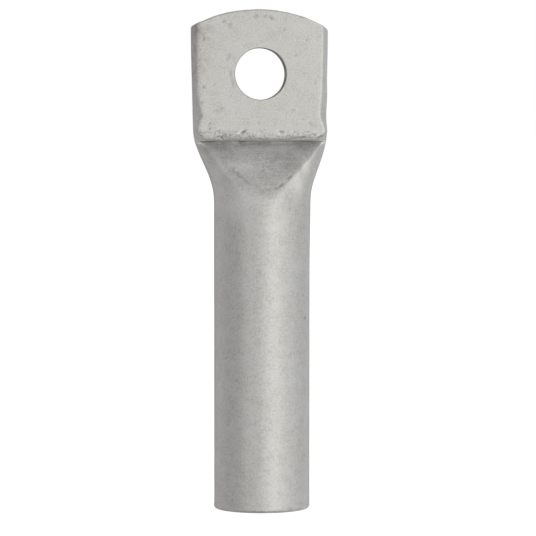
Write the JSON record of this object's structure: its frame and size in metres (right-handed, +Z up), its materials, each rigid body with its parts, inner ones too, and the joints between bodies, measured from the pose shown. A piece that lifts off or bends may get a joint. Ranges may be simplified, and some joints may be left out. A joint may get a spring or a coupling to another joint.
{
  "type": "cable lug",
  "caption": "Tubular aluminium cable lug: a round crimp barrel with a blind bore, flattened into a crowned palm with a bolt hole.",
  "frame": {"origin": "centre of the barrel's open mouth, on the bore's axis, in the plane of the sawn end that the lug stands on", "axes": "+Z up the bore's axis towards the palm, -Y out of the palm's front face with the lip, +X to the right seen from the front"},
  "size_m": [0.0228, 0.016, 0.083],
  "materials": {
    "bare_aluminium": "bare, tumbled to a fine matt grain, with die scuffs at the lip"
  },
  "bodies": {
    "root": {"cable_lug": "bare_aluminium"}
  },
  "joints": []
}
